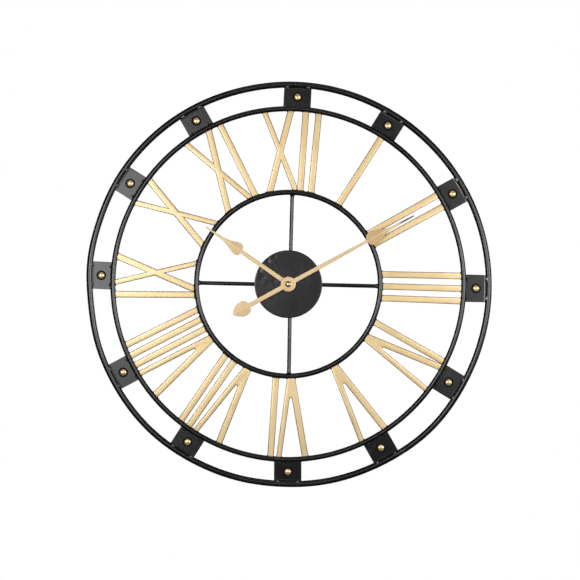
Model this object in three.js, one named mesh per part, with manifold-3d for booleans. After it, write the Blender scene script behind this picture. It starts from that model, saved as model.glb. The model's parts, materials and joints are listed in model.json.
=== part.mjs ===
// Skeleton wall clock: three welded rings, flat Roman numerals, spade hands and a quartz movement.
// Millimetres. X to the right, Z up, the dial faces -Y. The wall is the plane y = 0, and the origin is
// the point on that plane behind the axis of the hands, in the middle of the movement's back.
import * as THREE from "three";
import { mergeVertices } from "three/addons/utils/BufferGeometryUtils.js";
import Module from "manifold-3d";

// ---------- driving dimensions ----------

const GAP = 0.3; // between pieces that are welded, glued or pressed together

// Frame: the rings, spokes, plates and numerals share one middle plane.
const FRAME_Y = -13.05;
const OUTER_RING = { radius: 295.3, tube: 4.7, shiftX: 0.5, shiftZ: -0.5, segments: 96 };
const OUTER_OVAL = 0.0025; // the hoop is a little long from upper left to lower right
const NUMERAL_RING = { radius: 258.9, tube: 4.0, segments: 96 };
const HUB_RING = { radius: 135.6, tube: 4.0, segments: 72 };
const RING_SIDES = 8;
const STRIP_THICK = 2.0;

const DISC_RADIUS = 50;
const DISC_THICK = 1.5;
const DISC_BACK_Y = -16.3;

// Each spoke: direction on the dial, sideways offset at the disc and at the ring.
const SPOKE_RADIUS = 2.95;
const SPOKE_INNER = 31;
const SPOKES = [
  { name: "spoke_top", clock: 0, near: 2.2, far: 2.1 },
  { name: "spoke_right", clock: 90, near: -0.3, far: -0.8 },
  { name: "spoke_bottom", clock: 180, near: -3.3, far: -4.4 },
  { name: "spoke_left", clock: 270, near: -1.2, far: -1.7 },
];

// Marker plates, welded by hand a degree or so off the true hours, from 12 round to 11.
const PLATE_WIDTH = 40.5;
const PLATE_OFF_HOUR = [1.2, 0.5, -0.4, -0.3, -0.1, -1.1, -1.4, 1.0, 0.3, 1.1, 0.9, -1.0];
const WASHER = { radius: 6.8, thick: 0.6 };
const RIVET = { radius: 4.75, height: 2.6 };

// Numeral strokes: each runs from its foot on the hub ring to its head on the numeral ring.
const THICK = 9.6;
const THIN = 7.8;
const CROTCH_RADIUS = 1.8;
const CROSS_SPREAD = 19.3; // half the width of an X at head and foot
const VEE_HEAD_SPREAD = 19.4; // from a V's axis to the middle of each leg
const VEE_FOOT_SPREAD = 1.6;

// Hands, flat sheet. Lengths are from the axis; "half" is half a width.
const HAND_THICK = 1.2;
const HAND_BOSS = 11;
const HOUR_HAND = { back: -22.2, clock: 303.2, length: 148 };
const MINUTE_HAND = { back: -25.0, clock: 59.8, length: 210, tail: 92.8 };

// Quartz movement.
const CASE_SIZE = 56;
const CASE_CORNER = 5;
const CASE_WALL = 1.6;
const CASE_FRONT = -16;
const CASE_FLOOR = -14.4; // inside face of the front wall
const REAR_PLATE = 2.0;
const PARTITION_Z = -10.4; // upper face of the wall between gears and battery
const PARTITION_THICK = 1.2;
const BUSH = { radius: 4.0, front: -21.3 };
const TUBE = { outer: 2.5, inner: 1.9, front: -24.4 };
const SHAFT = { radius: 1.5, front: -28.3 };
const PIVOT_RADIUS = 0.5;
const PIVOT_HOLE = 0.8;

// Gear train. Clockwise is as seen from the front.
const MOTION_MODULE = 0.55;
const CANNON_TEETH = 10;
const MOTION_TEETH = 30;
const MOTION_PINION_TEETH = 8;
const HOUR_TEETH = 32;
const KNOB_TEETH = 10;
const CENTRE_MODULE = 0.3;
const CENTRE_TEETH = 64;
const THIRD_PINION_TEETH = 8;
const THIRD_MODULE = 0.25;
const THIRD_TEETH = 60;
const FOURTH_PINION_TEETH = 8;
const FOURTH_TEETH = 30;

const MOTION_ANGLE = 0; // from the centre to the motion wheel, anticlockwise from +X
const KNOB_ANGLE = 60; // from the motion wheel to the knob
const THIRD_ANGLE = 135; // from the centre to the third wheel
const FOURTH_ANGLE = 35; // from the third wheel to the fourth

const KNOB = { radius: 6.6, back: -0.3, front: -3.1, flutes: 24 };
const KNOB_CUP = { inner: 7.2, outer: 8.4, floorBack: -3.4, floorFront: -4.8 };
const BATTERY = { radius: 7.1, length: 48.6, nub: 1.4, nubRadius: 2.7, y: -7.3, z: -19 };

// Hanger: a bent strap behind the plate at 12, from ring to ring.
const HANGER = { width: 26, thick: 1.5, holeRadius: 4.5, holeZ: 272, slotRadius: 2.5, slotZ: 284 };

// ---------- materials ----------

const paint = (color, roughness, metalness) =>
  new THREE.MeshStandardMaterial({ color, roughness, metalness });
const black = () => paint(0x1b1b1c, 0.55, 0.3);
const gold = () => paint(0xe6c48c, 0.5, 0.35);
const plastic = () => paint(0x222224, 0.6, 0);
const nylon = () => paint(0xe8e4da, 0.5, 0);

// ---------- solids ----------

const wasm = await Module();
wasm.setup();

function toSolid(geometry) {
  const plain = geometry.clone();
  plain.deleteAttribute("normal");
  plain.deleteAttribute("uv");
  const merged = mergeVertices(plain, 1e-4);
  return new wasm.Manifold(
    new wasm.Mesh({
      numProp: 3,
      vertProperties: merged.attributes.position.array,
      triVerts: new Uint32Array(merged.index.array),
    }),
  );
}

function toGeometry(solid) {
  const mesh = solid.getMesh();
  return new THREE.BufferGeometry()
    .setAttribute("position", new THREE.BufferAttribute(mesh.vertProperties, 3))
    .setIndex(new THREE.BufferAttribute(mesh.triVerts, 1));
}

const join = (...parts) => toGeometry(parts.map(toSolid).reduce((a, b) => a.add(b)));
const cut = (body, ...tools) =>
  toGeometry(tools.map(toSolid).reduce((a, b) => a.subtract(b), toSolid(body)));

// A shape drawn as seen from the front (x right, y up), as a slab between two depths.
function slab(shape, back, front, curveSegments = 6) {
  const options = { depth: back - front, bevelEnabled: false, curveSegments };
  return new THREE.ExtrudeGeometry(shape, options).rotateX(Math.PI / 2).translate(0, back, 0);
}

function block(x0, x1, y0, y1, z0, z1) {
  return new THREE.BoxGeometry(x1 - x0, y1 - y0, z1 - z0).translate(
    (x0 + x1) / 2,
    (y0 + y1) / 2,
    (z0 + z1) / 2,
  );
}

// A round bar along Y.
function rod(radius, back, front, [x, z] = [0, 0], sides = 16) {
  return new THREE.CylinderGeometry(radius, radius, back - front, sides).translate(
    x,
    (back + front) / 2,
    z,
  );
}

function polygon(points) {
  return new THREE.Shape(points.map(([x, y]) => new THREE.Vector2(x, y)));
}

// ---------- dial geometry ----------

const rad = THREE.MathUtils.degToRad;
// A point on the dial: radius, and angle clockwise from 12.
const onDial = (radius, clock) => [radius * Math.sin(rad(clock)), radius * Math.cos(rad(clock))];
const polar = (radius, angle) => [radius * Math.cos(rad(angle)), radius * Math.sin(rad(angle))];
const shifted = ([x, z], [dx, dz]) => [x + dx, z + dz];

const HEAD = NUMERAL_RING.radius - NUMERAL_RING.tube - GAP;
const FOOT = HUB_RING.radius + HUB_RING.tube + GAP;

// One edge of a stroke: the line from foot to head moved sideways, cut off at a radius.
function edgePoint(head, foot, side, radius) {
  const length = Math.hypot(head[0] - foot[0], head[1] - foot[1]);
  const along = [(head[0] - foot[0]) / length, (head[1] - foot[1]) / length];
  const start = [foot[0] + along[1] * side, foot[1] - along[0] * side];
  const b = start[0] * along[0] + start[1] * along[1];
  const c = start[0] ** 2 + start[1] ** 2 - radius ** 2;
  const t = -b + Math.sqrt(b * b - c);
  return [start[0] + along[0] * t, start[1] + along[1] * t];
}

function barOutline(head, foot, width, inner = FOOT, outer = HEAD) {
  const left = -width / 2;
  const right = width / 2;
  return polygon([
    edgePoint(head, foot, left, inner),
    edgePoint(head, foot, right, inner),
    edgePoint(head, foot, right, outer),
    edgePoint(head, foot, left, outer),
  ]);
}

const strip = (outline) =>
  slab(outline, FRAME_Y + STRIP_THICK / 2, FRAME_Y - STRIP_THICK / 2);
const beside = (radius, clock, offset) => onDial(radius, clock + (offset / radius / Math.PI) * 180);

const bar = (head, foot) => strip(barOutline(onDial(HEAD, head), onDial(FOOT, foot), THICK));

// A stroke trimmed at a corner to stand clear of the bar beside it.
function clearOf(stroke, head, foot) {
  const width = THICK + 2 * GAP;
  const path = barOutline(onDial(HEAD, head), onDial(FOOT, foot), width, FOOT - 5, HEAD + 5);
  return cut(stroke, slab(path, FRAME_Y + STRIP_THICK, FRAME_Y - STRIP_THICK));
}

// An X about its own radial axis: the thick stroke leans clockwise going out, the thin one the other way.
function cross(clock) {
  const arm = (side, width) =>
    strip(
      barOutline(
        beside(HEAD, clock, side * CROSS_SPREAD),
        beside(FOOT, clock, -side * CROSS_SPREAD),
        width,
      ),
    );
  return join(arm(1, THICK), arm(-1, THIN));
}

// A V with its foot on the hub ring: thick leg first going clockwise, rounded in the crotch.
function vee(headClock, footClock) {
  const leg = (side) => [
    beside(HEAD, headClock, side * VEE_HEAD_SPREAD),
    beside(FOOT, footClock, side * VEE_FOOT_SPREAD),
  ];
  const [thickHead, thickFoot] = leg(-1);
  const [thinHead, thinFoot] = leg(1);
  const innerThick = [FOOT, HEAD].map((r) => edgePoint(thickHead, thickFoot, THICK / 2, r));
  const innerThin = [FOOT, HEAD].map((r) => edgePoint(thinHead, thinFoot, -THIN / 2, r));
  return strip(
    polygon([
      edgePoint(thickHead, thickFoot, -THICK / 2, FOOT),
      edgePoint(thinHead, thinFoot, THIN / 2, FOOT),
      edgePoint(thinHead, thinFoot, THIN / 2, HEAD),
      innerThin[1],
      ...crotch(innerThin, innerThick),
      innerThick[1],
      edgePoint(thickHead, thickFoot, -THICK / 2, HEAD),
    ]),
  );
}

// The arc that rounds the corner between two lines that part going outward, the clockwise one first.
function crotch([a0, a1], [b0, b1], steps = 5) {
  const angleA = Math.atan2(a1[1] - a0[1], a1[0] - a0[0]);
  const angleB = Math.atan2(b1[1] - b0[1], b1[0] - b0[0]);
  const dirA = [Math.cos(angleA), Math.sin(angleA)];
  const dirB = [Math.cos(angleB), Math.sin(angleB)];
  const turn = dirA[0] * dirB[1] - dirA[1] * dirB[0];
  const t = ((b0[0] - a0[0]) * dirB[1] - (b0[1] - a0[1]) * dirB[0]) / turn;
  const middle = (angleA + angleB) / 2;
  const half = (angleB - angleA) / 2;
  const reach = CROTCH_RADIUS / Math.sin(half);
  const centre = [
    a0[0] + dirA[0] * t + Math.cos(middle) * reach,
    a0[1] + dirA[1] * t + Math.sin(middle) * reach,
  ];
  const sweep = Math.PI / 2 - half;
  return Array.from({ length: steps }, (_, i) => {
    const angle = middle + Math.PI + sweep - (2 * sweep * i) / (steps - 1);
    return [
      centre[0] + Math.cos(angle) * CROTCH_RADIUS,
      centre[1] + Math.sin(angle) * CROTCH_RADIUS,
    ];
  });
}

// ---------- the object ----------

const clock = new THREE.Group();
clock.name = "wall_clock";

function add(name, geometry, material) {
  const mesh = new THREE.Mesh(geometry, material);
  mesh.name = name;
  clock.add(mesh);
  return mesh;
}

// Rings.
function ring({ radius, tube, segments }) {
  return new THREE.TorusGeometry(radius, tube, RING_SIDES, segments).rotateX(Math.PI / 2);
}

const outerRing = ring(OUTER_RING)
  .rotateY(Math.PI / 4)
  .scale(1 - OUTER_OVAL, 1, 1 + OUTER_OVAL)
  .rotateY(-Math.PI / 4);
add("outer_ring", outerRing, black()).position.set(OUTER_RING.shiftX, FRAME_Y, OUTER_RING.shiftZ);
add("numeral_ring", ring(NUMERAL_RING), black()).position.y = FRAME_Y;
add("hub_ring", ring(HUB_RING), black()).position.y = FRAME_Y;

// Spokes, from behind the disc's edge to the hub ring.
const spokeEnd = HUB_RING.radius - HUB_RING.tube - GAP;
for (const { name, clock: direction, near, far } of SPOKES) {
  const length = spokeEnd - SPOKE_INNER;
  const spoke = new THREE.CylinderGeometry(SPOKE_RADIUS, SPOKE_RADIUS, length, 12);
  const upright = add(name, spoke.rotateX(Math.PI / 2), black());
  const middle = (spokeEnd + SPOKE_INNER) / 2;
  const lean = Math.atan((far - near) / length);
  upright.rotation.y = rad(direction) + lean;
  const [x, z] = onDial(middle, direction);
  const [sideX, sideZ] = onDial((near + far) / 2, direction + 90);
  upright.position.set(x + sideX, FRAME_Y, z + sideZ);
}

const disc = slab(new THREE.Shape().absarc(0, 0, DISC_RADIUS), DISC_BACK_Y, DISC_BACK_Y - DISC_THICK, 24);
add(
  "centre_disc",
  cut(disc, rod(BUSH.radius + GAP, DISC_BACK_Y + 1, DISC_BACK_Y - DISC_THICK - 1)),
  black(),
);

// Marker plates with their washers and rivets.
function markerPlate(clockAngle) {
  const [ux, uz] = onDial(1, clockAngle);
  const shiftOut = OUTER_RING.shiftX * ux + OUTER_RING.shiftZ * uz;
  const inner = NUMERAL_RING.radius + NUMERAL_RING.tube + GAP;
  const outer = OUTER_RING.radius - OUTER_RING.tube - 2 * GAP + shiftOut - oval(clockAngle);
  const halfInner = Math.asin(PLATE_WIDTH / 2 / inner);
  const halfOuter = Math.asin(PLATE_WIDTH / 2 / outer);
  const up = Math.PI / 2;
  const outline = new THREE.Shape();
  outline.absarc(0, 0, inner, up + halfInner, up - halfInner, true);
  outline.absarc(0, 0, outer, up - halfOuter, up + halfOuter, false);
  const front = FRAME_Y - STRIP_THICK / 2;
  const plate = slab(outline, FRAME_Y + STRIP_THICK / 2, front, 3);
  const seat = [0, (inner + outer) / 2];
  const washer = rod(WASHER.radius, front + 0.1, front - WASHER.thick, seat, 16);
  const profile = [0, 30, 60].map((a) => [RIVET.radius * Math.cos(rad(a)), RIVET.height * Math.sin(rad(a))]);
  const points = [[0, -0.5], [RIVET.radius, -0.5], ...profile, [0, RIVET.height]];
  const dome = new THREE.LatheGeometry(points.map(([x, y]) => new THREE.Vector2(x, y)), 12)
    .rotateX(Math.PI)
    .translate(seat[0], front - WASHER.thick, seat[1]);
  return join(plate, washer, dome);
}

// How much nearer to the middle the outer ring is than a circle would be, at one angle.
function oval(clockAngle) {
  return OUTER_RING.radius * OUTER_OVAL * Math.cos(2 * rad(clockAngle - 45));
}

PLATE_OFF_HOUR.forEach((off, i) => {
  const angle = i * 30 + off;
  const hour = String(i === 0 ? 12 : i).padStart(2, "0");
  add("marker_plate_" + hour, markerPlate(angle), black()).rotation.y = rad(angle);
});

// Numerals. Angles are clockwise from 12, head then foot; an X has one, about which it stands.
const NUMERALS = {
  xii_x: clearOf(cross(354.9), 4.2, 5.7),
  xii_i1: bar(4.2, 5.7),
  xii_i2: bar(8.5, 12.4),
  i_i: bar(30.8, 30.7),
  ii_i1: bar(57.5, 56.2),
  ii_i2: bar(61.8, 63.5),
  iii_i1: bar(85.7, 82.4),
  iii_i2: bar(89.9, 89.7),
  iii_i3: bar(94.0, 96.9),
  iv_iv: join(bar(114.9, 112.1), vee(121.4, 123.0)),
  v_v: vee(149.0, 149.3),
  vi_v: vee(177.2, 176.9),
  vi_i: bar(184.3, 186.0),
  vii_v: vee(206.4, 204.4),
  vii_i1: bar(213.4, 213.5),
  vii_i2: bar(216.6, 219.9),
  viii_v: vee(233.0, 233.4),
  viii_i1: bar(240.5, 240.2),
  viii_i2: bar(244.0, 246.5),
  viii_i3: bar(247.8, 252.7),
  ix_i: bar(265.1, 261.9),
  ix_x: clearOf(cross(273.4), 265.1, 261.9),
  x_x: cross(300.8),
  xi_x: clearOf(cross(326.7), 335.2, 338.0),
  xi_i: bar(335.2, 338.0),
};
for (const [name, geometry] of Object.entries(NUMERALS)) add("stroke_" + name, geometry, gold());

// ---------- hands ----------

// Half of a hand's outline, from the boss out to the point, is drawn by "half" on a path; the other half
// is its mirror image.
function bladeHalf(path, { neck, neckHalf, widest, widestHalf, waist, waistHalf, tip }) {
  path.lineTo(neckHalf, neck);
  path.bezierCurveTo(
    widestHalf * 0.75, neck + 0.3,
    widestHalf, neck + (widest - neck) * 0.45,
    widestHalf, widest,
  );
  path.bezierCurveTo(
    widestHalf, widest + (waist - widest) * 0.22,
    waistHalf * 2.1, widest + (waist - widest) * 0.6,
    waistHalf, waist,
  );
  path.lineTo(0.5, tip);
}

function mirrored(drawHalf, divisions) {
  const half = new THREE.Path();
  drawHalf(half);
  const right = half.getPoints(divisions).map((p) => [p.x, p.y]);
  const left = right.map(([x, y]) => [-x, y]).reverse();
  return polygon([...right, ...left]);
}

function hand(outline, back, bore) {
  const front = back - HAND_THICK;
  const blade = slab(outline, back, front);
  const boss = rod(HAND_BOSS, back, front, [0, 0], 28);
  return cut(join(blade, boss), rod(bore, back + 1, front - 1, [0, 0], 16));
}

const hourBlade = mirrored((half) => {
  half.moveTo(3.4, 0);
  bladeHalf(half, {
    neck: 84, neckHalf: 2.8, widest: 91.5, widestHalf: 9.5, waist: 117, waistHalf: 2.1,
    tip: HOUR_HAND.length,
  });
}, 6);
add("hour_hand", hand(hourBlade, HOUR_HAND.back, TUBE.outer + GAP), gold()).rotation.y = rad(
  HOUR_HAND.clock,
);

// The minute hand: its point, and the leaf-shaped counterweight on its tail.
const minuteBlade = mirrored((half) => {
  half.moveTo(3.5, 0);
  bladeHalf(half, {
    neck: 131, neckHalf: 1.95, widest: 141, widestHalf: 10.1, waist: 173, waistHalf: 1.9,
    tip: MINUTE_HAND.length,
  });
}, 6);
const leaf = mirrored((half) => {
  half.moveTo(0.3, -MINUTE_HAND.tail);
  half.bezierCurveTo(5.5, -89, 10.5, -84, 10.5, -77.5);
  half.bezierCurveTo(10.5, -72.5, 8.5, -67.5, 3.2, -65.3);
  half.lineTo(3.5, 0);
}, 6);
const minuteSheet = join(
  slab(minuteBlade, MINUTE_HAND.back, MINUTE_HAND.back - HAND_THICK),
  slab(leaf, MINUTE_HAND.back, MINUTE_HAND.back - HAND_THICK),
  rod(HAND_BOSS, MINUTE_HAND.back, MINUTE_HAND.back - HAND_THICK, [0, 0], 28),
);
const shaftHole = rod(SHAFT.radius + GAP, MINUTE_HAND.back + 1, MINUTE_HAND.back - HAND_THICK - 1);
add("minute_hand", cut(minuteSheet, shaftHole), gold()).rotation.y = rad(MINUTE_HAND.clock);

const nutBack = MINUTE_HAND.back - HAND_THICK - GAP;
const nutFront = nutBack - 2.4;
add(
  "hand_nut",
  cut(rod(4.7, nutBack, nutFront, [0, 0], 24), rod(SHAFT.radius + GAP, nutBack + 1, nutFront - 1)),
  paint(0x4a4038, 0.35, 0.8),
);

// ---------- gears ----------

// A gear's outline: straight-sided teeth a little thinner than the gaps; phase is the angle of one tooth.
function gearOutline(teeth, module, phase) {
  const pitchRadius = (teeth * module) / 2;
  const tip = pitchRadius + 0.7 * module;
  const root = pitchRadius - 0.95 * module;
  const pitch = 360 / teeth;
  const corners = [
    [root, -0.29],
    [tip, -0.1],
    [tip, 0.1],
    [root, 0.29],
  ];
  const points = [];
  for (let i = 0; i < teeth; i++)
    for (const [radius, part] of corners) points.push(polar(radius, phase + (i + part) * pitch));
  return polygon(points);
}

const gear = (teeth, module, phase, back, front) => slab(gearOutline(teeth, module, phase), back, front);

// The phase of a gear that meshes with one already placed, in the direction given from it.
const meshPhase = (direction, phase, teeth, otherTeeth) =>
  direction + 180 - ((phase - direction) * teeth) / otherTeeth - 180 / otherTeeth;

const centreDistance = (teethA, teethB, module) => ((teethA + teethB) * module) / 2;

const motionAt = polar(centreDistance(CANNON_TEETH, MOTION_TEETH, MOTION_MODULE), MOTION_ANGLE);
const knobAt = shifted(
  polar(centreDistance(MOTION_TEETH, KNOB_TEETH, MOTION_MODULE), KNOB_ANGLE),
  motionAt,
);
const thirdAt = polar(centreDistance(CENTRE_TEETH, THIRD_PINION_TEETH, CENTRE_MODULE), THIRD_ANGLE);
const fourthAt = shifted(
  polar(centreDistance(THIRD_TEETH, FOURTH_PINION_TEETH, THIRD_MODULE), FOURTH_ANGLE),
  thirdAt,
);
const placed = (name, geometry, [x, z], material) => add(name, geometry, material).position.set(x, 0, z);

const cannonPhase = MOTION_ANGLE;
const motionPhase = meshPhase(MOTION_ANGLE, cannonPhase, CANNON_TEETH, MOTION_TEETH);
const knobPhase = meshPhase(KNOB_ANGLE, motionPhase, MOTION_TEETH, KNOB_TEETH);
const motionPinionPhase = MOTION_ANGLE + 180;
const hourPhase = meshPhase(MOTION_ANGLE + 180, motionPinionPhase, MOTION_PINION_TEETH, HOUR_TEETH);
const centrePhase = THIRD_ANGLE;
const thirdPinionPhase = meshPhase(THIRD_ANGLE, centrePhase, CENTRE_TEETH, THIRD_PINION_TEETH);
const thirdPhase = FOURTH_ANGLE;
const fourthPinionPhase = meshPhase(FOURTH_ANGLE, thirdPhase, THIRD_TEETH, FOURTH_PINION_TEETH);

// Layers of the train, back and front of each wheel.
const HOUR_LAYER = [-12.6, -13.9];
const MOTION_PINION_LAYER = [-11.8, -14.1];
const MOTION_LAYER = [-10.8, -11.9];
const CANNON_LAYER = [-9.9, -12.1];
const KNOB_PINION_LAYER = [-10.6, -12.1];
const CENTRE_LAYER = [-9.0, -10.0];
const THIRD_PINION_LAYER = [-8.1, -10.3];
const THIRD_LAYER = [-7.2, -8.2];
const FOURTH_PINION_LAYER = [-6.3, -8.5];
const FOURTH_LAYER = [-5.6, -6.4];
const REAR_PIVOT = -1.4;

const hourGear = gear(HOUR_TEETH, MOTION_MODULE, hourPhase, ...HOUR_LAYER);
const hourTube = rod(TUBE.outer, HOUR_LAYER[0], TUBE.front);
const hourBore = rod(TUBE.inner, HOUR_LAYER[0] + 1, TUBE.front - 1);
add("hour_wheel", cut(join(hourGear, hourTube), hourBore), nylon());

add(
  "minute_wheel",
  join(
    gear(CENTRE_TEETH, CENTRE_MODULE, centrePhase, ...CENTRE_LAYER),
    gear(CANNON_TEETH, MOTION_MODULE, cannonPhase, ...CANNON_LAYER),
    rod(SHAFT.radius, -8.6, SHAFT.front, [0, 0], 12),
    rod(PIVOT_RADIUS, REAR_PIVOT, -8.7, [0, 0], 8),
  ),
  nylon(),
);

const motionPost = { radius: 0.6, back: -10.5 };
const motionWheel = join(
  gear(MOTION_TEETH, MOTION_MODULE, motionPhase, ...MOTION_LAYER),
  gear(MOTION_PINION_TEETH, MOTION_MODULE, motionPinionPhase, ...MOTION_PINION_LAYER),
);
placed("motion_wheel", cut(motionWheel, rod(0.9, -10, -15, [0, 0], 12)), motionAt, nylon());

placed(
  "third_wheel",
  join(
    gear(THIRD_TEETH, THIRD_MODULE, thirdPhase, ...THIRD_LAYER),
    gear(THIRD_PINION_TEETH, CENTRE_MODULE, thirdPinionPhase, ...THIRD_PINION_LAYER),
    rod(PIVOT_RADIUS, REAR_PIVOT, -15, [0, 0], 8),
  ),
  thirdAt,
  nylon(),
);

placed(
  "fourth_wheel",
  join(
    gear(FOURTH_TEETH, CENTRE_MODULE, 0, ...FOURTH_LAYER),
    gear(FOURTH_PINION_TEETH, THIRD_MODULE, fourthPinionPhase, ...FOURTH_PINION_LAYER),
    rod(PIVOT_RADIUS, REAR_PIVOT, -15, [0, 0], 8),
  ),
  fourthAt,
  nylon(),
);

// Setting knob: a fluted button let into the back, its stem and pinion.
function fluted(radius, flutes, depth) {
  const points = [];
  for (let i = 0; i < flutes; i++) {
    const step = 360 / flutes;
    points.push(polar(radius, i * step), polar(radius, (i + 0.55) * step));
    points.push(polar(radius - depth, (i + 0.775) * step));
  }
  return polygon(points);
}

placed(
  "setting_knob",
  join(
    slab(fluted(KNOB.radius, KNOB.flutes, 0.5), KNOB.back, KNOB.front),
    rod(1.0, KNOB.front + 0.1, -12, [0, 0], 12),
    gear(KNOB_TEETH, MOTION_MODULE, knobPhase, ...KNOB_PINION_LAYER),
    rod(PIVOT_RADIUS, -11.9, -15, [0, 0], 8),
  ),
  knobAt,
  plastic(),
);

// ---------- movement case ----------

function roundedSquare(size, corner) {
  const half = size / 2;
  const inner = half - corner;
  const shape = new THREE.Shape();
  shape.absarc(inner, -inner, corner, -Math.PI / 2, 0);
  shape.absarc(inner, inner, corner, 0, Math.PI / 2);
  shape.absarc(-inner, inner, corner, Math.PI / 2, Math.PI);
  shape.absarc(-inner, -inner, corner, Math.PI, 1.5 * Math.PI);
  return shape;
}

const caseInside = CASE_SIZE / 2 - CASE_WALL;
const bayTop = PARTITION_Z - PARTITION_THICK;
const tray = roundedSquare(CASE_SIZE, CASE_CORNER);
const bayFloor = BATTERY.y - BATTERY.radius - GAP;
const pivotAt = [thirdAt, fourthAt, knobAt];

const frontShell = cut(
  slab(tray, -REAR_PLATE - GAP, CASE_FRONT, 4),
  block(-caseInside, caseInside, CASE_FLOOR, 0, PARTITION_Z, caseInside),
  block(-caseInside, caseInside, bayFloor, 0, -caseInside, bayTop),
);
const COIL = { x0: -20, x1: 8, y: -8, z: 21.8, radius: 3.4, flange: 4.0, core: 1.2 };
const cradle = (x) => block(x, x + 3, CASE_FLOOR - 0.1, COIL.y - COIL.flange - GAP, 19.8, 23.8);
add(
  "movement_front_case",
  cut(
    join(
      frontShell,
      rod(BUSH.radius, CASE_FRONT + 0.1, BUSH.front, [0, 0], 20),
      rod(motionPost.radius, motionPost.back, CASE_FLOOR - 0.1, motionAt, 8),
      cradle(COIL.x0 + 1),
      cradle(COIL.x1 - 4),
    ),
    rod(TUBE.outer + GAP, CASE_FLOOR + 1, BUSH.front - 1),
    ...pivotAt.map((at) => rod(PIVOT_HOLE, CASE_FLOOR + 1, CASE_FLOOR - 0.9, at, 8)),
  ),
  plastic(),
);

const [knobX, knobZ] = knobAt;
const rearPlate = cut(
  slab(tray, 0, -REAR_PLATE, 4),
  block(-caseInside, caseInside, -REAR_PLATE - 1, 1, -caseInside, bayTop),
);
add(
  "movement_rear_case",
  cut(
    join(rearPlate, rod(KNOB_CUP.outer, -0.5, KNOB_CUP.floorFront, [knobX, knobZ], 24)),
    rod(KNOB_CUP.inner, 1, KNOB_CUP.floorBack, [knobX, knobZ], 24),
    rod(1.3, 0, KNOB_CUP.floorFront - 1, [knobX, knobZ], 12),
    ...[[0, 0], thirdAt, fourthAt].map((at) =>
      rod(PIVOT_HOLE, REAR_PIVOT + 0.3, -REAR_PLATE - 1, at, 8),
    ),
  ),
  plastic(),
);

// Motor coil: winding between two flanges on an iron core.
const lying = (radius, x0, x1, sides) =>
  new THREE.CylinderGeometry(radius, radius, x1 - x0, sides)
    .rotateZ(Math.PI / 2)
    .translate((x0 + x1) / 2, COIL.y, COIL.z);
add(
  "motor_coil",
  join(
    lying(COIL.radius, COIL.x0, COIL.x1, 16),
    lying(COIL.flange, COIL.x0, COIL.x0 + 1, 16),
    lying(COIL.flange, COIL.x1 - 1, COIL.x1, 16),
    block(COIL.x0 - 4, COIL.x1 + 4, COIL.y - 0.6, COIL.y + 0.6, COIL.z - 1.2, COIL.z + 1.2),
  ),
  paint(0xb5633a, 0.4, 0.7),
);

// Battery, with its positive end to the right.
const cellProfile = [
  [0, -BATTERY.length / 2],
  [BATTERY.radius, -BATTERY.length / 2],
  [BATTERY.radius, BATTERY.length / 2],
  [BATTERY.nubRadius, BATTERY.length / 2],
  [BATTERY.nubRadius, BATTERY.length / 2 + BATTERY.nub],
  [0, BATTERY.length / 2 + BATTERY.nub],
];
const cell = new THREE.LatheGeometry(cellProfile.map(([x, y]) => new THREE.Vector2(x, y)), 20);
add("battery", cell.rotateZ(-Math.PI / 2), paint(0x8c9096, 0.35, 0.6)).position.set(
  0,
  BATTERY.y,
  BATTERY.z,
);

const nutRadius = 12 / 2 / Math.cos(Math.PI / 6);
const discFront = DISC_BACK_Y - DISC_THICK;
const nutBlank = rod(nutRadius, discFront - GAP, discFront - GAP - 2.6, [0, 0], 6);
add(
  "mounting_nut",
  cut(nutBlank, rod(BUSH.radius + GAP, discFront + 1, discFront - 4, [0, 0], 20)),
  paint(0xc9a45c, 0.35, 0.8),
);

// ---------- hanger ----------

const halfHanger = HANGER.width / 2;
const footZ = NUMERAL_RING.radius;
const headZ = OUTER_RING.radius + OUTER_RING.shiftZ;
const t = HANGER.thick;
const innerLegFront = FRAME_Y + NUMERAL_RING.tube + GAP;
const outerLegFront = FRAME_Y + OUTER_RING.tube + GAP;
const strap = join(
  block(-halfHanger, halfHanger, -t, 0, footZ - t / 2, headZ + t / 2),
  block(-halfHanger, halfHanger, innerLegFront, -0.5, footZ - t / 2, footZ + t / 2),
  block(-halfHanger, halfHanger, outerLegFront, -0.5, headZ - t / 2, headZ + t / 2),
);
const { holeRadius, holeZ, slotRadius, slotZ } = HANGER;
add(
  "hanger_bracket",
  cut(
    strap,
    rod(holeRadius, 1, -3, [0, holeZ], 20),
    block(-slotRadius, slotRadius, -3, 1, holeZ, slotZ - slotRadius),
    rod(slotRadius, 1, -3, [0, slotZ - slotRadius], 16),
  ),
  black(),
);

export default clock;
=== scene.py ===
"""Skeleton wall clock: the looks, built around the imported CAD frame.

Metres. X is to the right, Z is up and the dial faces -Y. The wall is the plane y = 0 and the origin
lies on the axis of the hands. Clock angles are degrees clockwise from XII, as seen from the front.
"""

import json
import math
import random

import bmesh
import bpy
from mathutils import Matrix, Vector, noise


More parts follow.
